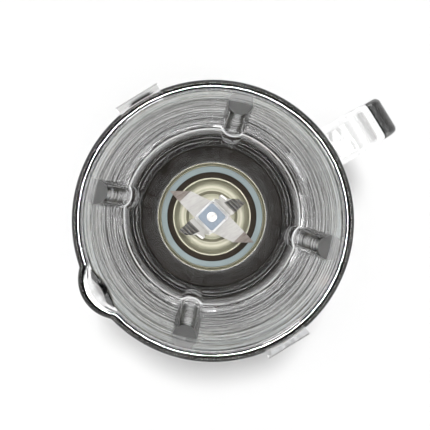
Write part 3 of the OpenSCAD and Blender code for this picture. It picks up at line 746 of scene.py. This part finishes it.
def handle_mesh():
    """The handle's strap, grip and return, swept as one bar that ends inside the wall."""
    half = GRIP_T / 2
    bend = HANDLE_BEND_R - half
    x_out = HANDLE_X - half
    z_top = HANDLE_TOP_Z - half
    z_low = HANDLE_TOP_Z - HANDLE_H + half
    path = [(MOUTH_R + HANDLE_ROOT, z_top)] + [(RIM_R + 3 * i, z_top) for i in range(1, 7)]
    path += arc(x_out - bend, z_top - bend, bend, 90, 0, 12)
    path += [(x_out, z_top - bend - 6 * i) for i in range(1, 19)]
    path += arc(x_out - bend, z_low + bend, bend, 0, -90, 12)
    path += [(FLOOR_R + HANDLE_FOOT, z_low)]
    section = rounded_section(HANDLE_W, GRIP_T, HANDLE_EDGE_R)
    verts = []
    for i, (x, z) in enumerate(path):
        ahead, behind = path[min(i + 1, len(path) - 1)], path[max(i - 1, 0)]
        along = Vector((ahead[0] - behind[0], 0, ahead[1] - behind[1])).normalized()
        out = Vector((-along.z, 0, along.x))
        verts += [Vector((x, 0, z)) + out * v + Vector((0, u, 0)) for u, v in section]
    count = len(section)
    faces = grid_faces(len(path), count, close_rows=False)
    faces += [tuple(range(count)), tuple(range(len(verts) - 1, len(verts) - count - 1, -1))]
    handle = mesh_piece("handle_bar", verts, faces, GLASS)
    fix_normals(handle)
    under = HANDLE_TOP_Z - GRIP_T
    half_w = HANDLE_W / 2 - GROOVE_MARGIN
    for out in GROOVES_AT:
        low = (RIM_R + out, -half_w, under - 1)
        high = (RIM_R + out + GROOVE_W, half_w, under + GROOVE_DEPTH)
        combine(handle, cutter("groove", low, high), "DIFFERENCE")
    return handle


def make_jug():
    angles = jug_angles()
    profiles = [jug_profile(a) for a in angles]
    rows, columns = len(profiles[0]), len(angles)
    verts = [
        (p[i][0] * math.cos(math.radians(a)), p[i][0] * math.sin(math.radians(a)), p[i][1])
        for i in range(rows)
        for a, p in zip(angles, profiles)
    ]
    jug = mesh_piece("jug_glass", verts, grid_faces(rows, columns), GLASS)
    fix_normals(jug)
    combine(jug, handle_mesh(), "UNION")
    smooth_by_angle(jug, SHARP_FROM)
    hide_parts("jug")
    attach(jug, "jug")


# ---------------------------------------------------------------- blade unit


def make_hub_plate():
    """Square plate with wide ground bevels along its upper edges, and a hole for the shaft."""
    turn = math.radians(SHORT_BLADE_TURN)
    half_side, top = PLATE_SIDE / 2, plate_high.z
    steps = 48
    angles = [math.tau * i / steps for i in range(steps)]
    levels = [(half_side, plate_low.z)]
    levels += [(half_side - inward, top - down) for inward, down in PLATE_BEVEL]
    rings = []
    for half, z in levels:
        ring = []
        for a in angles:
            edge = half / max(abs(math.cos(a)), abs(math.sin(a)))
            reach = min(edge, half * PLATE_CORNER)
            ring.append((reach * math.cos(a + turn), reach * math.sin(a + turn), z))
        rings.append(ring)
    for z in (top, plate_low.z):
        rings.append([
            (SPIGOT_R * math.cos(a + turn), SPIGOT_R * math.sin(a + turn), z) for a in angles
        ])
    verts = [point for ring in rings for point in ring]
    faces = grid_faces(len(rings), steps)
    plate = mesh_piece("hub_plate_ground", verts, faces, SLOT_LOOKS["plate_steel"], smooth=False)
    plate.data.materials.append(metal("ground_edge", (0.75, 0.75, 0.75), 0.3))
    for i, polygon in enumerate(plate.data.polygons):
        if steps <= i < 3 * steps:
            polygon.material_index = 1
    fix_normals(plate)
    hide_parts("hub_plate")
    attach(plate, "blades")


# ---------------------------------------------------------------- stage, light and camera


def make_stage():
    size = FLOOR_HALF_SIZE
    corners = [(-size, -size, 0), (size, -size, 0), (size, size, 0), (-size, size, 0)]
    pale = Shader("floor_pale", (0.56, 0.56, 0.56), 0.7)
    mesh_piece("floor", corners, [(0, 1, 2, 3)], pale.material)


def make_world():
    """Soft light with a bright ring part way up, dark overhead where the camera is.

    Rays that have passed through glass see a brighter surround, without the ring.
    """
    world = bpy.data.worlds.new("studio")
    bpy.context.scene.world = world
    world.use_nodes = True
    tree = world.node_tree
    background = tree.nodes["Background"]
    coordinates = tree.nodes.new("ShaderNodeTexCoord")
    split = tree.nodes.new("ShaderNodeSeparateXYZ")
    tree.links.new(coordinates.outputs["Generated"], split.inputs["Vector"])
    through_glass = tree.nodes.new("ShaderNodeLightPath").outputs["Is Transmission Ray"]

    sky = tree.nodes.new("ShaderNodeMix")
    sky.data_type = "RGBA"
    tree.links.new(through_glass, sky.inputs["Factor"])
    for socket, stops in zip(color_sockets(sky.inputs), (SKY_STOPS, GLASS_SKY_STOPS)):
        ramp = tree.nodes.new("ShaderNodeValToRGB")
        tree.links.new(split.outputs["Z"], ramp.inputs["Fac"])
        elements = ramp.color_ramp.elements
        while len(elements) < len(stops):
            elements.new(0.5)
        for element, (place, grey) in zip(elements, stops):
            element.position = place
            element.color = (grey, grey, grey, 1)
        tree.links.new(ramp.outputs["Color"], socket)
    tree.links.new(color_sockets(sky.outputs)[0], background.inputs["Color"])

    strength = tree.nodes.new("ShaderNodeMath")
    strength.operation = "MULTIPLY_ADD"
    strength.inputs[1].default_value = GLASS_SKY_STRENGTH - SKY_STRENGTH
    strength.inputs[2].default_value = SKY_STRENGTH
    tree.links.new(through_glass, strength.inputs[0])
    tree.links.new(strength.outputs["Value"], background.inputs["Strength"])


def make_sun(name, energy, size, tilt, glints):
    """A distant lamp, its size and tilt in degrees. It leans towards the top of the image.

    Without glints it only lights surfaces and shapes the shadow.
    """
    sun = bpy.data.lights.new(name, "SUN")
    sun.energy = energy
    sun.angle = math.radians(size)
    lamp = link(bpy.data.objects.new(name, sun))
    lamp.visible_glossy = glints
    lamp.visible_transmission = glints
    lamp.rotation_mode = "QUATERNION"
    towards = Vector((0, 0, -1)) - IMAGE_UP * math.tan(math.radians(tilt))
    lamp.rotation_quaternion = towards.to_track_quat("-Z", "Y")


def make_camera():
    """Looks down from above the rim, with the handle turned up and to the right."""
    data = bpy.data.cameras.new("camera")
    data.sensor_width = CAMERA_SENSOR
    data.lens = CAMERA_LENS
    data.clip_start, data.clip_end = CAMERA_CLIP
    camera = link(bpy.data.objects.new("camera", data))
    rim_centre = Vector((0, 0, RIM_Z * MM))
    place = rim_centre + IMAGE_UP * CAMERA_OFFSET[1] + IMAGE_RIGHT * CAMERA_OFFSET[0]
    camera.location = place + Vector((0, 0, CAMERA_HEIGHT))
    target = rim_centre + IMAGE_UP * TARGET_OFFSET[1] + IMAGE_RIGHT * TARGET_OFFSET[0]
    back = (camera.location - target).normalized()
    right = IMAGE_UP.cross(back).normalized()
    up = back.cross(right)
    camera.rotation_mode = "QUATERNION"
    camera.rotation_quaternion = Matrix((right, up, back)).transposed().to_quaternion()
    bpy.context.scene.camera = camera


# ---------------------------------------------------------------- put together

dress_cad_nodes()
make_jug()
make_hub_plate()
make_stage()
make_world()
make_sun("key", energy=2.8, size=3.5, tilt=5.5, glints=False)
make_sun("rim_glint", energy=0.35, size=4, tilt=0, glints=True)
make_camera()
bpy.context.scene.view_settings.view_transform = "Standard"
